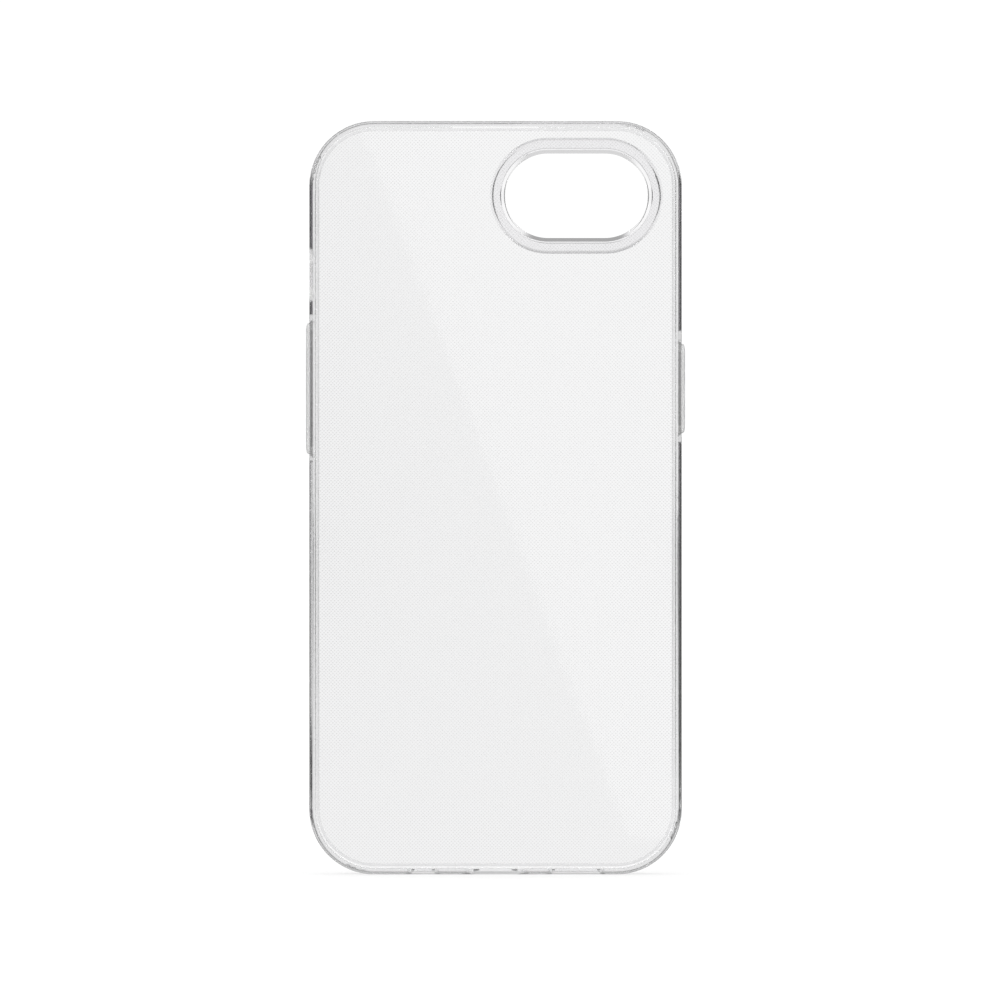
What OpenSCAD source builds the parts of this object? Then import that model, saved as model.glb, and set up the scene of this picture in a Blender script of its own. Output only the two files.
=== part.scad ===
// Clear case for a slab phone: a hard back panel moulded into a soft bumper, with a lens guard
// ring and two separate keys that press the phone's own buttons through thin flexing skirts.
// The case stands on its bottom edge: X is its width, Z its height, and its open front faces -Y.

/* [Phone] */
// Width of the phone that the case holds
phone_w = 71.5; // [66:0.1:80]
// Height of the phone
phone_h = 146.7; // [142:0.1:165]
// Thickness of the phone
phone_t = 7.8; // [7.4:0.1:9]
// Plan radius of the phone's corners
phone_r = 11.8; // [9:0.1:14]

/* [Bumper] */
// Thickness of the side walls
wall = 1.0; // [0.9:0.05:1.2]
// Height of the front lip above the phone's face
lip_rise = 1.0; // [0.9:0.05:1.4]
// Width of the rounded front lip, from the outer side inwards
lip_w = 1.35; // [1.2:0.05:1.6]
// Radius of the outer edge at the back
back_edge_r = 0.8; // [0.5:0.1:1]
// How far the bumper's back rim stands out past the panel
rim_rise = 0.6; // [0.3:0.05:0.8]
// Length of the lip's relief at the phone's earpiece
relief_l = 17; // [10:0.5:24]

/* [Back panel] */
// Thickness of the hard panel
panel_t = 1.0; // [1:0.05:1.4]
// Distance from the outer side to the panel's visible edge
panel_inset = 1.9; // [1.7:0.1:2.6]

/* [Camera opening] */
// Distance of the opening's centre from the middle of the case
camera_x = 16.0; // [12:0.5:18]
// Distance of the opening's centre from the top of the case
camera_drop = 14.7; // [14:0.1:20]
// Length of the guard ring's rim
guard_l = 34.2; // [28:0.1:34.5]
// Height of the guard ring's rim
guard_h = 22.9; // [20:0.1:23]
// How far the rim stands out of the case's back
guard_rise = 1.0; // [0.8:0.1:2.5]
// Width of the rim, from its outer edge to the sleeve
guard_rim = 2.2; // [1.8:0.1:2.4]
// Wall of the sleeve that lines the panel's opening
guard_sleeve = 0.9; // [0.85:0.05:1]

/* [Keys] */
// Length of the long key over the two volume buttons
volume_key_l = 26; // [22:0.5:28]
// Length of the key over the side button
side_key_l = 17.7; // [14:0.1:20]
// Height of the keys' middle above the bottom edge
key_z = 95.9; // [92:0.1:98]
// Width of both keys, across the thickness of the case
key_w = 3.4; // [3:0.1:3.6]
// How far a key stands out of the side wall
key_rise = 0.7; // [0.6:0.05:1.1]

/* [Openings] */
// Length of the action button's opening through the left wall
action_l = 9.6; // [9:0.1:11]
// Height of the middle of the action button's opening
action_z = 118.3; // [117.5:0.1:120]
// Width of the action button's opening, across the thickness
action_w = 5.2; // [4.6:0.1:5.6]
// Length of the charging port's opening in the bottom wall
port_l = 12.3; // [11:0.1:13]
// Width of the charging port's opening, across the thickness
port_w = 6.0; // [5.4:0.1:6.2]
// Length of the microphone's slot
mic_l = 6.4; // [5:0.1:7]
// Length of the loudspeaker's slot
speaker_l = 11.3; // [9:0.1:12]
// Width of the microphone's and loudspeaker's slots
sound_w = 3.0; // [2.4:0.1:3.4]

/* [Hidden] */
$fn = 96;

over = 1;                             // how far a cutting solid runs past what it cuts
seam = 0.03;                          // gap along a seam between two moulded pieces
case_w = phone_w + 2 * wall;
case_h = phone_h + 2 * wall;
case_r = phone_r + wall;
play = 0.1;                           // spare depth behind the phone
cavity_d = phone_t + play;
floor_z = rim_rise + panel_t;         // heights above the case's back: the panel's inner face,
mid_z = floor_z + cavity_d / 2;       // the middle of the phone's thickness,
lip_z = floor_z + cavity_d;           // and the lip's underside
case_d = lip_z + lip_rise;
overall_d = case_d + guard_rise;

lip_outer_r = 0.9;                    // round edges of the lip: outer,
lip_inner_r = 0.25;                   // and inner
rim_edge_r = 0.3;                     // inner edge of the rim round the panel
flange_r = 0.25;                      // fillet between the side wall and the flange round the panel
tongue_u = 1.3;                       // how near the panel's tongue comes to the outer side
tongue_z0 = rim_rise + 0.22;          // tongue and groove, above the case's back
tongue_z1 = floor_z - 0.32;
relief_d = 0.25;                      // how far the earpiece relief cuts the lip back

recess_d = 0.4;                       // depth that the guard's rim is let into the panel
guard_edge_r = 0.8;                   // round edges of the rim: outer,
guard_bore_r = 0.4;                   // and at the bore
guard_bevel = 0.8;                    // bevel inside the sleeve's front edge
guard_bevel_d = 1.1;
panel_bevel = 0.15;                   // bevel on the panel's edge round the sleeve

key_margin = 0.8;                     // width of the skirt round a key
key_edge_r = 0.6;
key_crown = 0.12;                     // how much higher a key's middle is than its edges
key_in = 0.35;                        // depth of a key's inner face below the wall's outer side
nub_h = 0.1;                          // height of the pressing pads on a key's inner face
nub_w = 1.6;
nub_l = 4.4;
volume_pitch = 13.4;                  // distance between the two volume buttons
skirt_t = 0.3;
skirt_key_u = 0.05;                   // depth of the skirt's outer face where it meets the key
skirt_wall_u = 0.5;                   // and where it meets the side wall
bevel = 0.5;                          // bevel round the openings' outer edges
action_bevel = 0.7;                   // depth of the finger scoop round the action opening
action_scoop = 1.3;                   // how far that scoop runs out at its ends
mic_x = -14.3;
speaker_x = 15.9;

// ---- Sweeps: a 2D profile carried round a plan outline, so that every curve is true ----

// Turns a profile with X inwards from an edge into one with X outwards from a corner's centre.
module from_corner(r) {
    translate([r, 0]) mirror([1, 0]) children();
}

// Carries a profile, drawn with X inwards and Y upwards, round a rectangle with round corners.
module round_frame(w, h, r) {
    for (corner = [0:3]) {
        across = corner % 2 == 0 ? w : h;
        along = corner % 2 == 0 ? h : w;
        rotate(90 * corner) {
            translate([across / 2 - r, along / 2 - r, 0])
                rotate_extrude(angle = 90) from_corner(r) children();
            translate([across / 2 - r, 0, 0]) rotate([90, 0, 0])
                linear_extrude(along - 2 * r, center = true) from_corner(r) children();
        }
    }
}

// Carries a profile, drawn with X outwards from the middle line, round a pill along Y.
module pill(l, w) {
    for (end = [0, 1])
        rotate(180 * end) translate([0, (l - w) / 2, 0])
            rotate_extrude(angle = 180) children();
    rotate([90, 0, 0]) linear_extrude(l - w, center = true) {
        children();
        mirror([1, 0]) children();
    }
}

// A plate with round corners, standing on z.
module round_plate(w, h, r, z, t) {
    translate([0, 0, z]) linear_extrude(t) {
        square([w - 2 * r, h], center = true);
        square([w, h - 2 * r], center = true);
        for (x = [-1, 1], y = [-1, 1])
            translate([x * (w / 2 - r), y * (h / 2 - r)]) circle(r);
    }
}

// The case's plan outline moved inwards by an inset, as a plate.
module case_plate(inset, z, t) {
    round_plate(case_w - 2 * inset, case_h - 2 * inset, case_r - inset, z, t);
}

// ---- Places: the case lies on its back here, with Z up from the back to the front ----

// Stands the case up on its bottom edge, with its depth centred on the origin.
module stand_up() {
    translate([0, overall_d / 2 - guard_rise, case_h / 2]) rotate([90, 0, 0]) children();
}

// The camera opening's place. A pill there runs along X.
module at_camera() {
    translate([camera_x, case_h / 2 - camera_drop, 0]) rotate(90) children();
}

// A place on a side wall at a height above the bottom edge. Z there points into the case from
// the wall's outer side, and Y runs along the wall. hand is -1 for the left wall, 1 for the right.
module at_side(hand, height) {
    translate([hand * case_w / 2, height - case_h / 2, mid_z]) rotate([0, -90 * hand, 0])
        children();
}

// A place on the bottom wall. Z there points into the case, and Y runs along the wall.
module at_bottom(x) {
    translate([x, -case_h / 2, mid_z]) rotate([-90, 90, 0]) children();
}

// ---- Profiles ----

// Section of the bumper: X inwards from the outer side, Y up from the back.
module bumper_profile() {
    // side wall with its rounded back edge
    translate([0, back_edge_r]) square([wall, case_d - lip_outer_r - back_edge_r]);
    intersection() {
        translate([back_edge_r, back_edge_r]) circle(back_edge_r);
        square([back_edge_r, back_edge_r]);
    }
    // rim that the panel sits in
    translate([back_edge_r, 0])
        square([panel_inset - rim_edge_r - back_edge_r, tongue_z0]);
    translate([back_edge_r, rim_edge_r])
        square([panel_inset - back_edge_r, tongue_z0 - rim_edge_r]);
    translate([panel_inset - rim_edge_r, rim_edge_r]) circle(rim_edge_r);
    // flange over the panel's tongue, flush with the panel's inner face
    translate([wall, tongue_z0]) square([tongue_u - wall, tongue_z1 - tongue_z0]);
    translate([wall, tongue_z1]) square([panel_inset - wall, floor_z - tongue_z1]);
    difference() {
        translate([wall, floor_z]) square(flange_r);
        translate([wall + flange_r, floor_z + flange_r]) circle(flange_r);
    }
    // lip with round edges
    intersection() {
        translate([lip_outer_r, case_d - lip_outer_r]) circle(lip_outer_r);
        translate([0, case_d - lip_outer_r]) square(lip_outer_r);
    }
    translate([lip_outer_r, lip_z]) square([lip_w - lip_inner_r - lip_outer_r, lip_rise]);
    translate([lip_w - lip_inner_r, lip_z + lip_inner_r])
        square([lip_inner_r, lip_rise - 2 * lip_inner_r]);
    for (z = [lip_z + lip_inner_r, case_d - lip_inner_r])
        translate([lip_w - lip_inner_r, z]) circle(lip_inner_r);
}

// Section of the guard ring: X outwards from the pill's middle line, Y up from the back.
module guard_profile() {
    rim = guard_h / 2;
    bore = rim - guard_rim - guard_sleeve;
    difference() {
        union() {
            // rim with round edges
            translate([bore, guard_edge_r - guard_rise])
                square([rim - bore, guard_rise - guard_edge_r + rim_rise + recess_d]);
            translate([bore + guard_bore_r, -guard_rise])
                square([rim - bore - guard_bore_r - guard_edge_r, guard_edge_r]);
            translate([bore, guard_bore_r - guard_rise])
                square([guard_bore_r, guard_edge_r - guard_bore_r]);
            translate([bore + guard_bore_r, guard_bore_r - guard_rise]) circle(guard_bore_r);
            translate([rim - guard_edge_r, guard_edge_r - guard_rise]) circle(guard_edge_r);
            // sleeve through the panel
            translate([bore, 0]) square([guard_sleeve, floor_z]);
        }
        // bevel inside the sleeve's front edge
        steep = guard_bevel_d / guard_bevel;
        polygon([
            [bore - over, floor_z - guard_bevel_d - over * steep],
            [bore + guard_bevel + over, floor_z + over * steep],
            [bore - over, floor_z + over * steep]
        ]);
    }
}

// Half section of the panel's hole for that sleeve, bevelled at the front.
module sleeve_hole_profile() {
    edge = guard_h / 2 - guard_rim + seam;
    polygon([
        [0, -over],
        [edge, -over],
        [edge, floor_z - panel_bevel],
        [edge + panel_bevel + over, floor_z + over],
        [0, floor_z + over]
    ]);
}

// Half section of a key: X outwards from its middle line, Y inwards from the wall's outer side.
module key_profile() {
    half = key_w / 2;
    crown_r = (pow(half - key_edge_r, 2) + pow(key_crown, 2)) / (2 * key_crown);
    translate([0, key_crown - key_rise + key_edge_r])
        square([half, key_in + key_rise - key_crown - key_edge_r]);
    translate([0, key_crown - key_rise]) square([half - key_edge_r, key_edge_r + seam]);
    translate([half - key_edge_r, key_crown - key_rise + key_edge_r]) circle(key_edge_r);
    intersection() {
        translate([0, crown_r - key_rise]) circle(crown_r);
        translate([0, -key_rise]) square([half - key_edge_r, key_crown]);
    }
}

// Half section of a key's skirt: a thin web that slopes in from the key to the side wall.
module skirt_profile() {
    key_edge = key_w / 2 + seam;
    wall_edge = key_w / 2 + key_margin - seam;
    polygon([
        [key_edge, skirt_key_u],
        [wall_edge, skirt_wall_u],
        [wall_edge, skirt_wall_u + skirt_t],
        [key_edge, skirt_key_u + skirt_t]
    ]);
}

// Half section of an opening's cutter: straight through the wall, bevelled at the outer side.
module cutter_profile(w, bevel_w, bevel_d) {
    polygon([
        [0, -over],
        [w / 2 + bevel_w * (1 + over / bevel_d), -over],
        [w / 2, bevel_d],
        [w / 2, panel_inset],
        [0, panel_inset]
    ]);
}

// ---- Sub-parts ----

// Hard back panel, with a tongue round its edge that the bumper is moulded over.
module back_panel() {
    color("GhostWhite", 0.4) stand_up() difference() {
        union() {
            case_plate(panel_inset + seam, rim_rise, panel_t);
            case_plate(tongue_u + seam, tongue_z0 + seam, tongue_z1 - tongue_z0 - 2 * seam);
        }
        at_camera() {
            pill(guard_l - 2 * guard_rim + 2 * seam, guard_h - 2 * guard_rim + 2 * seam)
                sleeve_hole_profile();
            pill(guard_l + 2 * seam, guard_h + 2 * seam) translate([0, -over])
                square([guard_h / 2 + seam, rim_rise + recess_d + seam + over]);
        }
    }
}

// Hole through a side wall for a key and its skirt.
module key_slot(hand, l) {
    slot_w = key_w + 2 * key_margin;
    at_side(hand, key_z) pill(l + 2 * key_margin, slot_w)
        translate([0, -over]) square([slot_w / 2, panel_inset + over]);
}

// Soft bumper: side walls, front lip and the rim round the panel.
module bumper() {
    color("WhiteSmoke", 0.5) stand_up() difference() {
        round_frame(case_w, case_h, case_r) bumper_profile();
        // earpiece relief in the lip's inner edge
        translate([0, case_h / 2 - lip_w, lip_z + lip_rise / 2])
            cube([relief_l, 2 * relief_d, 2 * lip_rise], center = true);
        key_slot(-1, volume_key_l);
        key_slot(1, side_key_l);
        at_side(-1, action_z) pill(action_l, action_w)
            cutter_profile(action_w, action_bevel, action_bevel);
        at_bottom(0) pill(port_l, port_w) cutter_profile(port_w, bevel, bevel);
        at_bottom(mic_x) pill(mic_l, sound_w) cutter_profile(sound_w, bevel / 2, bevel / 2);
        at_bottom(speaker_x) pill(speaker_l, sound_w)
            cutter_profile(sound_w, bevel / 2, bevel / 2);
    }
}

// Raised ring that keeps the phone's lens off a table, with a sleeve through the panel.
module camera_guard() {
    color("Lavender", 0.5) stand_up() at_camera()
        pill(guard_l, guard_h) guard_profile();
}

// One key, with pressing pads on its inner face at the given places along it.
module key(hand, l, pads) {
    stand_up() at_side(hand, key_z) {
        pill(l, key_w) key_profile();
        for (y = pads)
            translate([-nub_w / 2, y - nub_l / 2, key_in - seam])
                cube([nub_w, nub_l, nub_h + seam]);
    }
}

// The thin flexing web that joins a key to the side wall.
module key_skirt(hand, l) {
    stand_up() at_side(hand, key_z) pill(l, key_w) skirt_profile();
}

module volume_key() {
    color("White", 0.6) key(-1, volume_key_l, [-volume_pitch / 2, volume_pitch / 2]);
}

module volume_key_skirt() {
    color("Gainsboro", 0.5) key_skirt(-1, volume_key_l);
}

module side_key() {
    color("White", 0.6) key(1, side_key_l, [0]);
}

module side_key_skirt() {
    color("Gainsboro", 0.5) key_skirt(1, side_key_l);
}

back_panel();
bumper();
camera_guard();
volume_key();
volume_key_skirt();
side_key();
side_key_skirt();
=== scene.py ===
"""Looks of a clear phone case: hard clear panel, soft clear bumper, lens guard and two sprung keys."""

import math

import bpy
import numpy as np
from mathutils import Matrix, Vector


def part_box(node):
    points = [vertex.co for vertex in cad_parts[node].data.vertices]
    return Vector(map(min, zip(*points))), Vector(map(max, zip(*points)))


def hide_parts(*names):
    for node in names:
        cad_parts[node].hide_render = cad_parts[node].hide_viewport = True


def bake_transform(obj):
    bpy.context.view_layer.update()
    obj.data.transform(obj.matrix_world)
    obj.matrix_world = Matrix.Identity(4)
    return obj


MM = 0.001
LEFT, RIGHT = -1, 1

# Camera
CAMERA_DISTANCE = 4.0
CAMERA_ELEVATION = 0.6       # degrees
CAMERA_X = 0.00088           # where it aims
CAMERA_Z = 0.07392
VIEW_WIDTH = 0.19735         # what it sees across, at the case's open front
SENSOR_MM = 36.0

# Surroundings, as brightness
WHITE = 1.05                 # backdrop: a little over white, so that it stays clean
SKY_TONES = (0.68, 0.74, 0.80)    # backdrop above eye level, in three steps upwards
FLOOR_PAINTED_TONES = (0.90, 0.42, 0.95)  # the same three steps below eye level, downwards, painted on the floor as shade that rays through the clear parts see
TONE_STARTS = ((0.05, 0.30), (0.44, 0.52), (0.60, 0.68))  # where each starts, as a direction's Z
FLAG_TONE = 0.03             # dark flags at the two sides, close to eye level
FLAG_START = (0.04, 0.15)    # as a direction's X
FLAG_HEIGHT = (0.04, 0.12)   # as a direction's Z
LILAC = (0.62, 0.58, 0.65)   # tinted wall past the flags
LILAC_START = (0.72, 0.90)   # as a direction's X
GLOSS_TONE = 0.35            # what a polished surface mirrors outside the softbox

# Floor
PAPER_TONES = (0.895, 0.905)
PAPER_GRAIN = 2 * MM
FLOOR_LIGHT = 1.24           # light that falls on the floor
FLOOR_GLOW = 0.66            # share of the floor's brightness that no shadow takes away
FLOOR_PAINTED_FLAGS = (0.06, 0.30)    # where the painted dark flag bands begin on the floor, in metres to each side
FLOOR_RADIUS = 6.0
FLOOR_DROP = 0.00001         # gap between the floor and the case's lowest edge

# Softbox
SOFTBOX_TONE = 0.8
SOFTBOX_SIZE = (0.5, 0.7)
SOFTBOX_LEAN = 20.6          # degrees from upright
SOFTBOX_EDGE = (0.0, -0.25, 0.0745)  # middle of its left edge

# Clear plastics
SOFT_TONE = (0.80, 0.80, 0.804)  # colour that long paths through soft plastic take on
CLOUD = 6 * MM               # size of the faint patches in every plastic's colour
CLOUD_TINT = 0.985
WAVE = 3 * MM                # length of the slow waves in its surface
GRAIN_DEPTH = 0.004          # height of the fine grain, as a share of its size
GRAIN_RANGE = (0.3, 0.7)     # grain over which the gloss changes
ROUGH_RANGE = (0.6, 1.4)     # glossiest and dullest spots, as shares of a plastic's roughness
DOT_PITCH = 0.495 * MM       # lattice of micro dots, turned by 45 degrees
DOT_R = 0.17 * MM
DOT_CORE = 0.5               # share of that radius with the full effect
DOT_H = 0.004 * MM
# painted shade: the moulded dots are tinted darker than the clear panel, standing in for the light they
# bend away
DOT_PAINTED_SHADE = 0.80
DOT_ROUGHNESS = 0.12
INNER_FACE = 0.05 * MM       # how deep in the panel a point still counts as its inner face

# Shares of straight-through light, painted in to lighten the dark lines that the flags leave in these
# edges; at the bonded seam also real, as moulding leaves no gap there
SEAM_CLEAR = 0.85            # at the bonded seam between panel and bumper
LIP_CLEAR = 0.8              # at the lip's inner edge
WALL_CLEAR = 0.85            # at the side wall's rounded edges next to the keys and the action opening
LOW_CLEAR = 0.75             # at the left wall's rounded edges below the volume key
SLOT_CLEAR = 0.85            # at the ends of the openings in the bottom wall
GUARD_CLEAR = 0.95           # at the guard's two ends
KEY_CLEAR = 0.6              # at the keys' front and back edges

# Where those places are
PANEL_EDGE = (0.885, 0.948)  # shares of the panel's half size; a side face past these is its outer edge
SEAM_DEPTH = 0.26 * MM       # how far the seam's faces reach in front of the panel
LIP_DEPTH = 0.99 * MM        # how far the lip's inner edge reaches behind the front
BOTTOM_WALL = 1.05 * MM      # just over the bottom wall's thickness
STRAIGHT_X = 0.0239          # half length of the straight bottom edge
VOLUME_PAST = (1.4 * MM, 1.7 * MM)  # how far the clear wall goes below and above the volume key
SIDE_PAST = (1.8 * MM, 2.6 * MM)    # the same for the side key
ACTION_Z = (0.1132, 0.1235)  # heights that the action opening spans
LOW_Z = (0.018, 0.035)       # heights over which the lower left wall turns clear
FADE = 0.3 * MM              # half length of a clear stretch's soft end

# Which way those places face, as the size of their normal's X or Y
ROUNDED_Y = (0.05, 0.97)     # rounded edges: more than flat side faces, less than flat front and back faces
PANEL_SIDE_Y = 0.5           # the panel's side faces have less
LOW_WALL_Y = (0.1, 0.9)      # over which the lower left wall's edges turn clear
KEY_Y = (0.15, 0.6)          # over which the keys' edges turn clear
GUARD_X = (0.3, 0.65)        # over which the guard's ends turn clear
SLOT_X = 0.4                 # the slots' ends have more

# Webs of the two skirts
WEB_THICK = (0.18 * MM, 0.15 * MM)  # at the key, and at the wall
WEB_GAP = 0.03 * MM          # between key and web
WEB_STEPS = 13
CAP_STEPS = 32               # in each half round end
SHARP_ANGLE = 50.0           # degrees

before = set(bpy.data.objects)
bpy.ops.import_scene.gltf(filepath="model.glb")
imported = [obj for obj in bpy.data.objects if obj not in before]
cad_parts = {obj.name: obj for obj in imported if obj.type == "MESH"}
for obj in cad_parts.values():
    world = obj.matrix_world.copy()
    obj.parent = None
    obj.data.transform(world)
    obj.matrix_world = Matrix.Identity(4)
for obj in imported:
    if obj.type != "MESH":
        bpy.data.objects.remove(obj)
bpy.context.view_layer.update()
case_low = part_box("bumper")[0]
panel_low, panel_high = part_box("back_panel")
panel_middle = (panel_low + panel_high) / 2
volume_low, volume_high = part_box("volume_key")
side_low, side_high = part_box("side_key")


# ---- Node trees ----

class Nodes:
    """Shorthand for building one node tree."""

    def __init__(self, tree):
        self.nodes, self.link = tree.nodes, tree.links.new
        self.nodes.clear()

    def put(self, socket, value):
        if hasattr(value, "is_output"):
            self.link(value, socket)
        elif value is not None:
            socket.default_value = value

    def add(self, kind, **settings):
        node = self.nodes.new(kind)
        for key, value in settings.items():
            setattr(node, key, value)
        return node

    def math(self, operation, a, b=None):
        node = self.add("ShaderNodeMath", operation=operation)
        self.put(node.inputs[0], a)
        self.put(node.inputs[1], b)
        return node.outputs["Value"]

    def size(self, value):
        """The value without its sign."""
        return self.math("ABSOLUTE", value)

    def flip(self, value):
        """1 less the value."""
        return self.math("SUBTRACT", 1.0, value)

    def under(self, value, limit):
        return self.math("LESS_THAN", value, limit)

    def over(self, value, limit):
        return self.math("GREATER_THAN", value, limit)

    def times(self, product, *values):
        for value in values:
            product = self.math("MULTIPLY", product, value)
        return product

    def most(self, largest, *values):
        for value in values:
            largest = self.math("MAXIMUM", largest, value)
        return largest

    def vector(self, operation, a, b):
        node = self.add("ShaderNodeVectorMath", operation=operation)
        self.put(node.inputs[0], a)
        self.put(node.inputs[1], b)
        return node.outputs["Value" if operation == "DOT_PRODUCT" else "Vector"]

    def axes(self, vector):
        node = self.add("ShaderNodeSeparateXYZ")
        self.link(vector, node.inputs[0])
        return node.outputs

    def colour(self, share, a, b):
        """Colour a, with this share of b."""
        node = self.add("ShaderNodeMix", data_type="RGBA")
        for place, value in ((0, share), (6, a), (7, b)):
            self.put(node.inputs[place], value)
        return node.outputs[2]

    def shader(self, share, a, b):
        """Shader a, with this share of b."""
        node = self.add("ShaderNodeMixShader")
        for place, value in enumerate((share, a, b)):
            self.link(value, node.inputs[place])
        return node.outputs[0]

    def ramp(self, value, low, high):
        """0 up to low, 1 from high, with an eased slope between."""
        node = self.add("ShaderNodeMapRange", interpolation_type="SMOOTHSTEP")
        self.put(node.inputs["Value"], value)
        node.inputs["From Min"].default_value = low
        node.inputs["From Max"].default_value = high
        return node.outputs["Result"]

    def noise(self, place, size, detail=2.0):
        """Uneven pattern with features of about this size in metres, from 0 to 1."""
        node = self.add("ShaderNodeTexNoise")
        self.put(node.inputs["Vector"], place)
        node.inputs["Scale"].default_value = 1.0 / size
        node.inputs["Detail"].default_value = detail
        return node.outputs["Fac"]

    def bump(self, height, depth, normal=None):
        node = self.add("ShaderNodeBump")
        self.put(node.inputs["Height"], height)
        node.inputs["Distance"].default_value = depth
        self.put(node.inputs["Normal"], normal)
        return node.outputs["Normal"]


def grey(tone):
    return (tone, tone, tone, 1.0)


def opaque(colour, tone=1.0):
    return (*[tone * part for part in colour], 1.0)


def new_material(name):
    material = bpy.data.materials.new(name)
    material.use_nodes = True
    return material, Nodes(material.node_tree)


# ---- Where the plastics are dotted or clear, as 0 to 1 at a place and an outward normal ----

def dots(n, place):
    """Micro dots moulded into the panel's inner face: 1 on a dot, 0 between."""
    x, y, z = n.axes(place)
    per_metre = math.sqrt(0.5) / DOT_PITCH
    squares = []
    for sign in (1, -1):
        along = n.times(n.math("ADD", x, n.times(z, sign)), per_metre)
        squares.append(n.math("POWER", n.math("SUBTRACT", n.math("FRACT", along), 0.5), 2.0))
    away = n.math("SQRT", n.math("ADD", *squares))
    edge = DOT_R / DOT_PITCH
    inner_face = n.under(y, panel_low.y + INNER_FACE)
    return n.times(n.flip(n.ramp(away, edge * DOT_CORE, edge)), inner_face)


def panel_seam(n, place, normal):
    """The panel's outer edge, where the bumper is moulded to it."""
    side = n.under(n.size(n.axes(normal)["Y"]), PANEL_SIDE_Y)
    x, _, z = n.axes(n.vector("SUBTRACT", place, tuple(panel_middle)))
    half = (panel_high - panel_low) / 2
    past = n.most(
        n.over(n.size(x), PANEL_EDGE[0] * half.x),
        n.over(n.size(z), PANEL_EDGE[1] * half.z))
    return n.times(side, past, SEAM_CLEAR)


def inner_edges(n, place, normal):
    """Faces of the bumper that look inwards, round the panel and on the front lip."""
    outwards = n.vector("SUBTRACT", place, tuple(panel_middle))
    flat_normal = n.vector("MULTIPLY", normal, (1.0, 0.0, 1.0))
    inwards = n.under(n.vector("DOT_PRODUCT", outwards, flat_normal), 0.0)
    y = n.axes(place)["Y"]
    at_panel = n.times(n.over(y, panel_low.y - SEAM_DEPTH), SEAM_CLEAR)
    at_lip = n.times(n.under(y, case_low.y + LIP_DEPTH), LIP_CLEAR)
    return n.times(inwards, n.math("ADD", at_panel, at_lip))


def near_keys(n, x, z, level):
    """Rounded edges of the side wall next to the keys and the action opening."""
    near = []
    for hand, low, high in (
            (LEFT, volume_low.z - VOLUME_PAST[0], volume_high.z + VOLUME_PAST[1]),
            (LEFT, *ACTION_Z),
            (RIGHT, side_low.z - SIDE_PAST[0], side_high.z + SIDE_PAST[1])):
        above = n.ramp(z, low - FADE, low + FADE)
        below = n.flip(n.ramp(z, high - FADE, high + FADE))
        near.append(n.times(above, below, n.over(n.times(x, hand), 0.0)))
    return n.times(n.most(*near), n.over(level, ROUNDED_Y[0]), WALL_CLEAR)


def lower_left(n, x, z, level):
    """Rounded edges of the left wall below the volume key, clearer towards the front and the back."""
    top = volume_low.z - VOLUME_PAST[0]
    below = n.flip(n.ramp(z, top - FADE, top + FADE))
    return n.times(n.under(x, 0.0), below, n.ramp(z, *LOW_Z), n.ramp(level, *LOW_WALL_Y), LOW_CLEAR)


def slot_ends(n, x, z, normal):
    """Ends of the openings in the bottom wall."""
    end = n.over(n.size(n.axes(normal)["X"]), SLOT_X)
    return n.times(end, n.under(z, BOTTOM_WALL), n.under(n.size(x), STRAIGHT_X), SLOT_CLEAR)


def bumper_edges(n, place, normal):
    """All clear places of the bumper. Its flat front and back faces aren't among them."""
    x, _, z = n.axes(place)
    level = n.size(n.axes(normal)["Y"])
    clear = n.most(
        inner_edges(n, place, normal), near_keys(n, x, z, level), lower_left(n, x, z, level),
        slot_ends(n, x, z, normal))
    return n.times(n.under(level, ROUNDED_Y[1]), clear)


def guard_ends(n, place, normal):
    """The guard's two ends, where it would mirror the dark flags."""
    return n.times(n.ramp(n.size(n.axes(normal)["X"]), *GUARD_X), GUARD_CLEAR)


def key_edges(n, place, normal):
    """The keys' front and back edges."""
    return n.times(n.ramp(n.size(n.axes(normal)["Y"]), *KEY_Y), KEY_CLEAR)


# ---- Materials ----

def clear_plastic(name, ior, tint, tone, density, roughness, grain, wave,
                  clear=None, dotted=False, milky=0.0):
    """Clear moulded plastic. It bends light, darkens along long paths, and its gloss is a little uneven."""
    material, n = new_material(name)
    place = n.add("ShaderNodeTexCoord").outputs["Object"]
    geometry = n.add("ShaderNodeNewGeometry").outputs
    facing = n.flip(n.times(geometry["Backfacing"], 2.0))
    normal = n.vector("MULTIPLY", geometry["Normal"], facing)
    fine = n.noise(place, grain, detail=3.0)
    base = n.colour(n.noise(place, CLOUD), opaque(tint, CLOUD_TINT), opaque(tint))
    glossiest, dullest = (share * roughness for share in ROUGH_RANGE)
    rough = n.math("ADD", n.times(n.ramp(fine, *GRAIN_RANGE), dullest - glossiest), glossiest)
    bent = n.bump(n.noise(place, WAVE, detail=1.0), wave)
    bent = n.bump(fine, grain * GRAIN_DEPTH, bent)
    if dotted:
        dot = dots(n, place)
        # painted shade: a darker colour on each dot
        base = n.colour(dot, base, opaque(tint, DOT_PAINTED_SHADE))
        rough = n.math("ADD", rough, n.times(dot, DOT_ROUGHNESS))
        bent = n.bump(dot, DOT_H, bent)
    plastic = n.add("ShaderNodeBsdfPrincipled")
    plastic.inputs["Transmission Weight"].default_value = 1.0 - milky
    plastic.inputs["IOR"].default_value = ior
    n.link(base, plastic.inputs["Base Color"])
    n.link(rough, plastic.inputs["Roughness"])
    n.link(bent, plastic.inputs["Normal"])
    surface = plastic.outputs["BSDF"]
    if clear:
        # painted light: a share of straight-through light lightens the places the clear mask picks, hiding
        # the dark lines refraction gives there
        straight = n.add("ShaderNodeBsdfTransparent").outputs[0]
        surface = n.shader(clear(n, place, normal), surface, straight)
    volume = n.add("ShaderNodeVolumeAbsorption")
    volume.inputs["Color"].default_value = opaque(tone)
    volume.inputs["Density"].default_value = density
    out = n.add("ShaderNodeOutputMaterial")
    n.link(surface, out.inputs["Surface"])
    n.link(volume.outputs["Volume"], out.inputs["Volume"])
    return material


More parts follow.
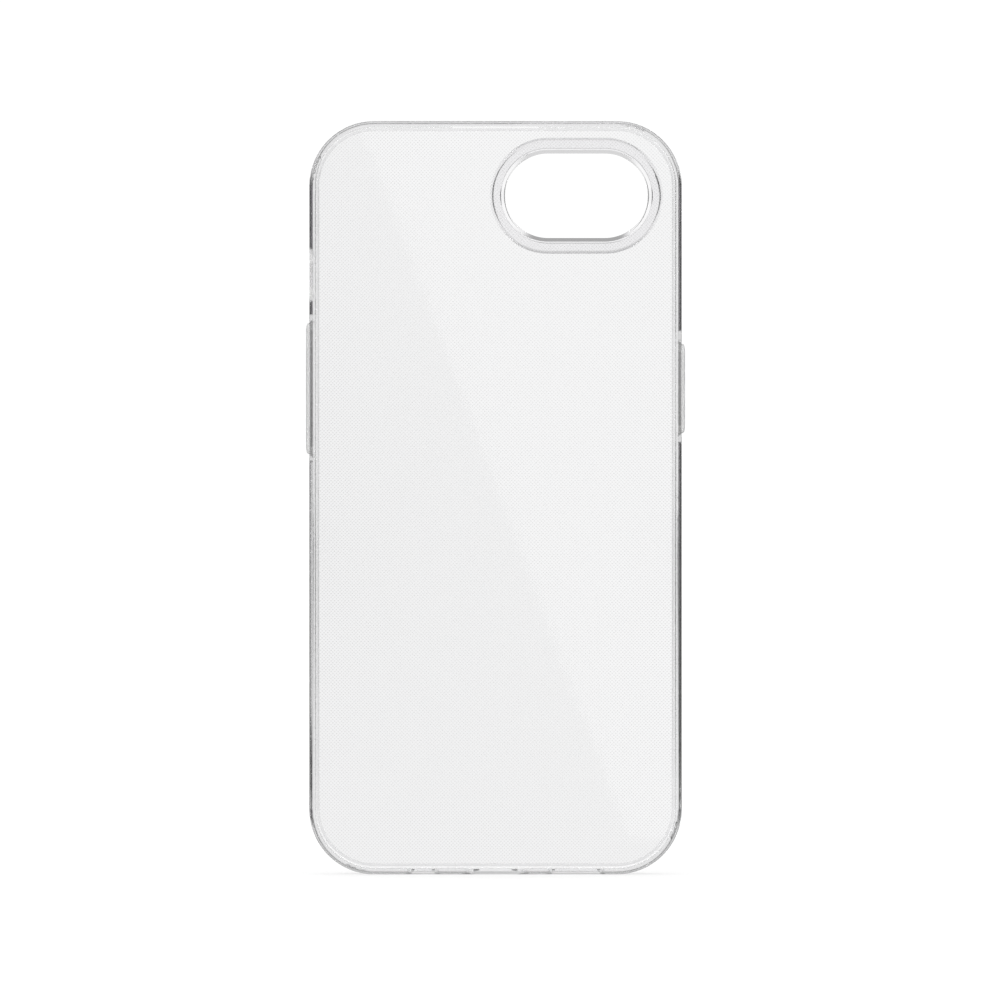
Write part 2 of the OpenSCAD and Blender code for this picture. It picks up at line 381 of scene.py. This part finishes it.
PANEL = clear_plastic(
    "clear_panel_look", ior=1.58, tint=(0.872, 0.872, 0.875), tone=(0.9, 0.92, 0.93), density=5.0,
    roughness=0.02, grain=0.6 * MM, wave=0.004 * MM, clear=panel_seam, dotted=True)
BUMPER = clear_plastic(
    "clear_bumper_look", ior=1.5, tint=(0.955, 0.955, 0.957), tone=SOFT_TONE, density=110.0,
    roughness=0.04, grain=0.35 * MM, wave=0.01 * MM, clear=bumper_edges)
GUARD = clear_plastic(
    "clear_guard_look", ior=1.5, tint=(0.985, 0.98, 0.988), tone=SOFT_TONE, density=160.0,
    roughness=0.03, grain=0.35 * MM, wave=0.01 * MM, clear=guard_ends)
KEY = clear_plastic(
    "clear_key_look", ior=1.5, tint=(0.99, 0.99, 0.99), tone=SOFT_TONE, density=30.0,
    roughness=0.35, grain=0.15 * MM, wave=0.01 * MM, clear=key_edges, milky=0.5)
SKIRT = clear_plastic(
    "clear_skirt_look", ior=1.5, tint=(0.985, 0.985, 0.987), tone=SOFT_TONE, density=100.0,
    roughness=0.08, grain=0.25 * MM, wave=0.01 * MM)

for node, material in (
        ("back_panel", PANEL), ("bumper", BUMPER), ("camera_guard", GUARD),
        ("volume_key", KEY), ("side_key", KEY)):
    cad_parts[node].data.materials[0] = material


# ---- Skirts: thin webs between a key and the side wall ----

def tube(section, path, hand, middle):
    """Points and faces of a closed section swept along a closed path, for the left or the right wall."""
    points = [
        (hand * depth, middle.y + reach * out_y, middle.z + shift + reach * out_z)
        for out_y, out_z, shift in path
        for reach, depth in section]
    count, around = len(section), len(path)
    faces = []
    for i in range(around):
        here, ahead = i * count, (i + 1) % around * count
        for k in range(count):
            after = (k + 1) % count
            quad = (here + k, here + after, ahead + after, ahead + k)
            faces.append(quad if hand == LEFT else quad[::-1])
    return points, faces


def make_skirt(key):
    """A thin web round a key, from the key's side down to the wall."""
    node = key + "_skirt"
    low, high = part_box(node)
    key_low, key_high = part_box(key)
    middle = (low + high) / 2
    hand = LEFT if middle.x < 0 else RIGHT
    foot, top = sorted((abs(low.x), abs(high.x)))
    outer = (high.y - low.y) / 2
    inner = (key_high.y - key_low.y) / 2 + WEB_GAP
    straight = (high.z - low.z) / 2 - outer
    # section: distance from the key's middle line, and from the case's middle
    steps = np.linspace(0.0, 1.0, WEB_STEPS)
    ease = steps * steps * (3 - 2 * steps)
    across = inner + (outer - inner) * steps
    thick = WEB_THICK[0] + (WEB_THICK[1] - WEB_THICK[0]) * steps
    upper = top - (top - foot - thick[-1]) * ease
    section = [*zip(across, upper), *zip(across[::-1], (upper - thick)[::-1])]
    # path round the key: outward direction, and height of the round end's centre
    path = []
    for half_turn, end in enumerate((straight, -straight)):
        for k in range(CAP_STEPS + 1):
            angle = math.pi * (half_turn + k / CAP_STEPS)
            path.append((math.cos(angle), math.sin(angle), end))
    points, faces = tube(section, path, hand, middle)
    mesh = bpy.data.meshes.new(key + "_web")
    mesh.from_pydata(points, [], faces)
    mesh.validate()
    mesh.shade_smooth()
    mesh.set_sharp_from_angle(angle=math.radians(SHARP_ANGLE))
    web = bpy.data.objects.new(key + "_web", mesh)
    bpy.context.scene.collection.objects.link(web)
    mesh.materials.append(SKIRT)
    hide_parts(node)
    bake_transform(web)


for key in ("volume_key", "side_key"):
    make_skirt(key)


# ---- Camera, floor and light ----

def make_camera():
    """Camera far in front of the open side, a little above its middle."""
    target = Vector((CAMERA_X, case_low.y, CAMERA_Z))
    elevation = math.radians(CAMERA_ELEVATION)
    data = bpy.data.cameras.new("camera")
    data.sensor_width = SENSOR_MM
    data.lens = CAMERA_DISTANCE / VIEW_WIDTH * SENSOR_MM
    data.clip_start, data.clip_end = 0.05, 50.0
    camera = bpy.data.objects.new("camera", data)
    bpy.context.scene.collection.objects.link(camera)
    back = Vector((0.0, -math.cos(elevation), math.sin(elevation)))
    camera.location = target + back * CAMERA_DISTANCE
    camera.rotation_mode = "QUATERNION"
    camera.rotation_quaternion = (-back).to_track_quat("-Z", "Y")
    bpy.context.scene.camera = camera


def surroundings(n, height, tones, beside, flag):
    """What bent light meets: white at eye level, greyer above and below it, dark flags beside."""
    seen = grey(WHITE)
    for tone, start in zip(tones, TONE_STARTS):
        seen = n.colour(n.ramp(height, *start), seen, grey(WHITE * tone))
    near = n.flip(n.ramp(height, *FLAG_HEIGHT))
    return n.colour(n.times(near, beside), seen, flag)


def make_floor():
    """Pale paper. Bent light sees painted shade on it, greyer tones and dark flag bands, and the polished
    panel an even painted reflection tone.
    """
    bpy.ops.mesh.primitive_circle_add(
        vertices=96, radius=FLOOR_RADIUS, fill_type="NGON", location=(0, 0, -FLOOR_DROP))
    floor = bpy.context.object
    floor.name = "floor"
    material, n = new_material("floor_look")
    path = n.add("ShaderNodeLightPath").outputs
    place = n.add("ShaderNodeTexCoord").outputs["Object"]
    aside = n.size(n.axes(place)["X"])
    height = n.flip(n.add("ShaderNodeLayerWeight").outputs["Facing"])
    # painted shade: greyer tones and dark flag bands on the floor, seen only by rays through the clear
    # parts
    bent = surroundings(n, height, FLOOR_PAINTED_TONES, n.ramp(aside, *FLOOR_PAINTED_FLAGS), grey(FLAG_TONE))
    paper = n.add("ShaderNodeBsdfDiffuse")
    n.link(n.colour(n.noise(place, PAPER_GRAIN), *map(grey, PAPER_TONES)), paper.inputs["Color"])
    glow = n.add("ShaderNodeEmission")
    seen = n.colour(path["Is Transmission Ray"], grey(WHITE), bent)
    # painted reflection: polished surfaces see the floor as an even grey
    seen = n.colour(path["Is Reflection Ray"], seen, grey(GLOSS_TONE))
    n.link(seen, glow.inputs["Color"])
    share = n.most(path["Is Transmission Ray"], path["Is Reflection Ray"], FLOOR_GLOW)
    out = n.add("ShaderNodeOutputMaterial")
    n.link(n.shader(share, paper.outputs[0], glow.outputs[0]), out.inputs["Surface"])
    floor.data.materials.append(material)


def make_world():
    """White surround. Rays that pass through the clear parts see dark flags at the two sides."""
    world = bpy.data.worlds.new("studio")
    bpy.context.scene.world = world
    world.use_nodes = True
    n = Nodes(world.node_tree)
    path = n.add("ShaderNodeLightPath").outputs
    x, _, z = n.axes(n.add("ShaderNodeTexCoord").outputs["Generated"])
    aside, height = n.size(x), n.size(z)
    flag = n.colour(n.ramp(aside, *LILAC_START), grey(FLAG_TONE), opaque(LILAC))
    seen = surroundings(n, height, SKY_TONES, n.ramp(aside, *FLAG_START), flag)
    seen = n.colour(path["Is Reflection Ray"], seen, grey(GLOSS_TONE))
    seen = n.colour(path["Is Camera Ray"], seen, grey(WHITE))
    seen = n.colour(path["Is Diffuse Ray"], seen, grey(FLOOR_LIGHT))
    background = n.add("ShaderNodeBackground")
    n.link(seen, background.inputs["Color"])
    out = n.add("ShaderNodeOutputWorld")
    n.link(background.outputs["Background"], out.inputs["Surface"])


def make_softbox():
    """Large soft light in front, seen as the straight-edged sheen across the panel."""
    data = bpy.data.lights.new("softbox", "AREA")
    data.shape = "RECTANGLE"
    data.size, data.size_y = SOFTBOX_SIZE
    data.energy = SOFTBOX_TONE * math.pi * data.size * data.size_y
    light = bpy.data.objects.new("softbox", data)
    bpy.context.scene.collection.objects.link(light)
    lean = math.radians(SOFTBOX_LEAN)
    along = Vector((-math.sin(lean), 0.0, math.cos(lean)))
    across = Vector((math.cos(lean), 0.0, math.sin(lean)))
    light.location = Vector(SOFTBOX_EDGE) + across * (data.size / 2)
    light.rotation_mode = "QUATERNION"
    turned = Matrix((across, along, across.cross(along))).transposed()
    light.rotation_quaternion = turned.to_quaternion()
    light.visible_camera = False
    light.visible_diffuse = False
    light.visible_transmission = False


scene = bpy.context.scene
scene.view_settings.view_transform = "Standard"
scene.cycles.max_bounces = 40
scene.cycles.transmission_bounces = 40
scene.cycles.glossy_bounces = 16
make_camera()
make_floor()
make_world()
make_softbox()
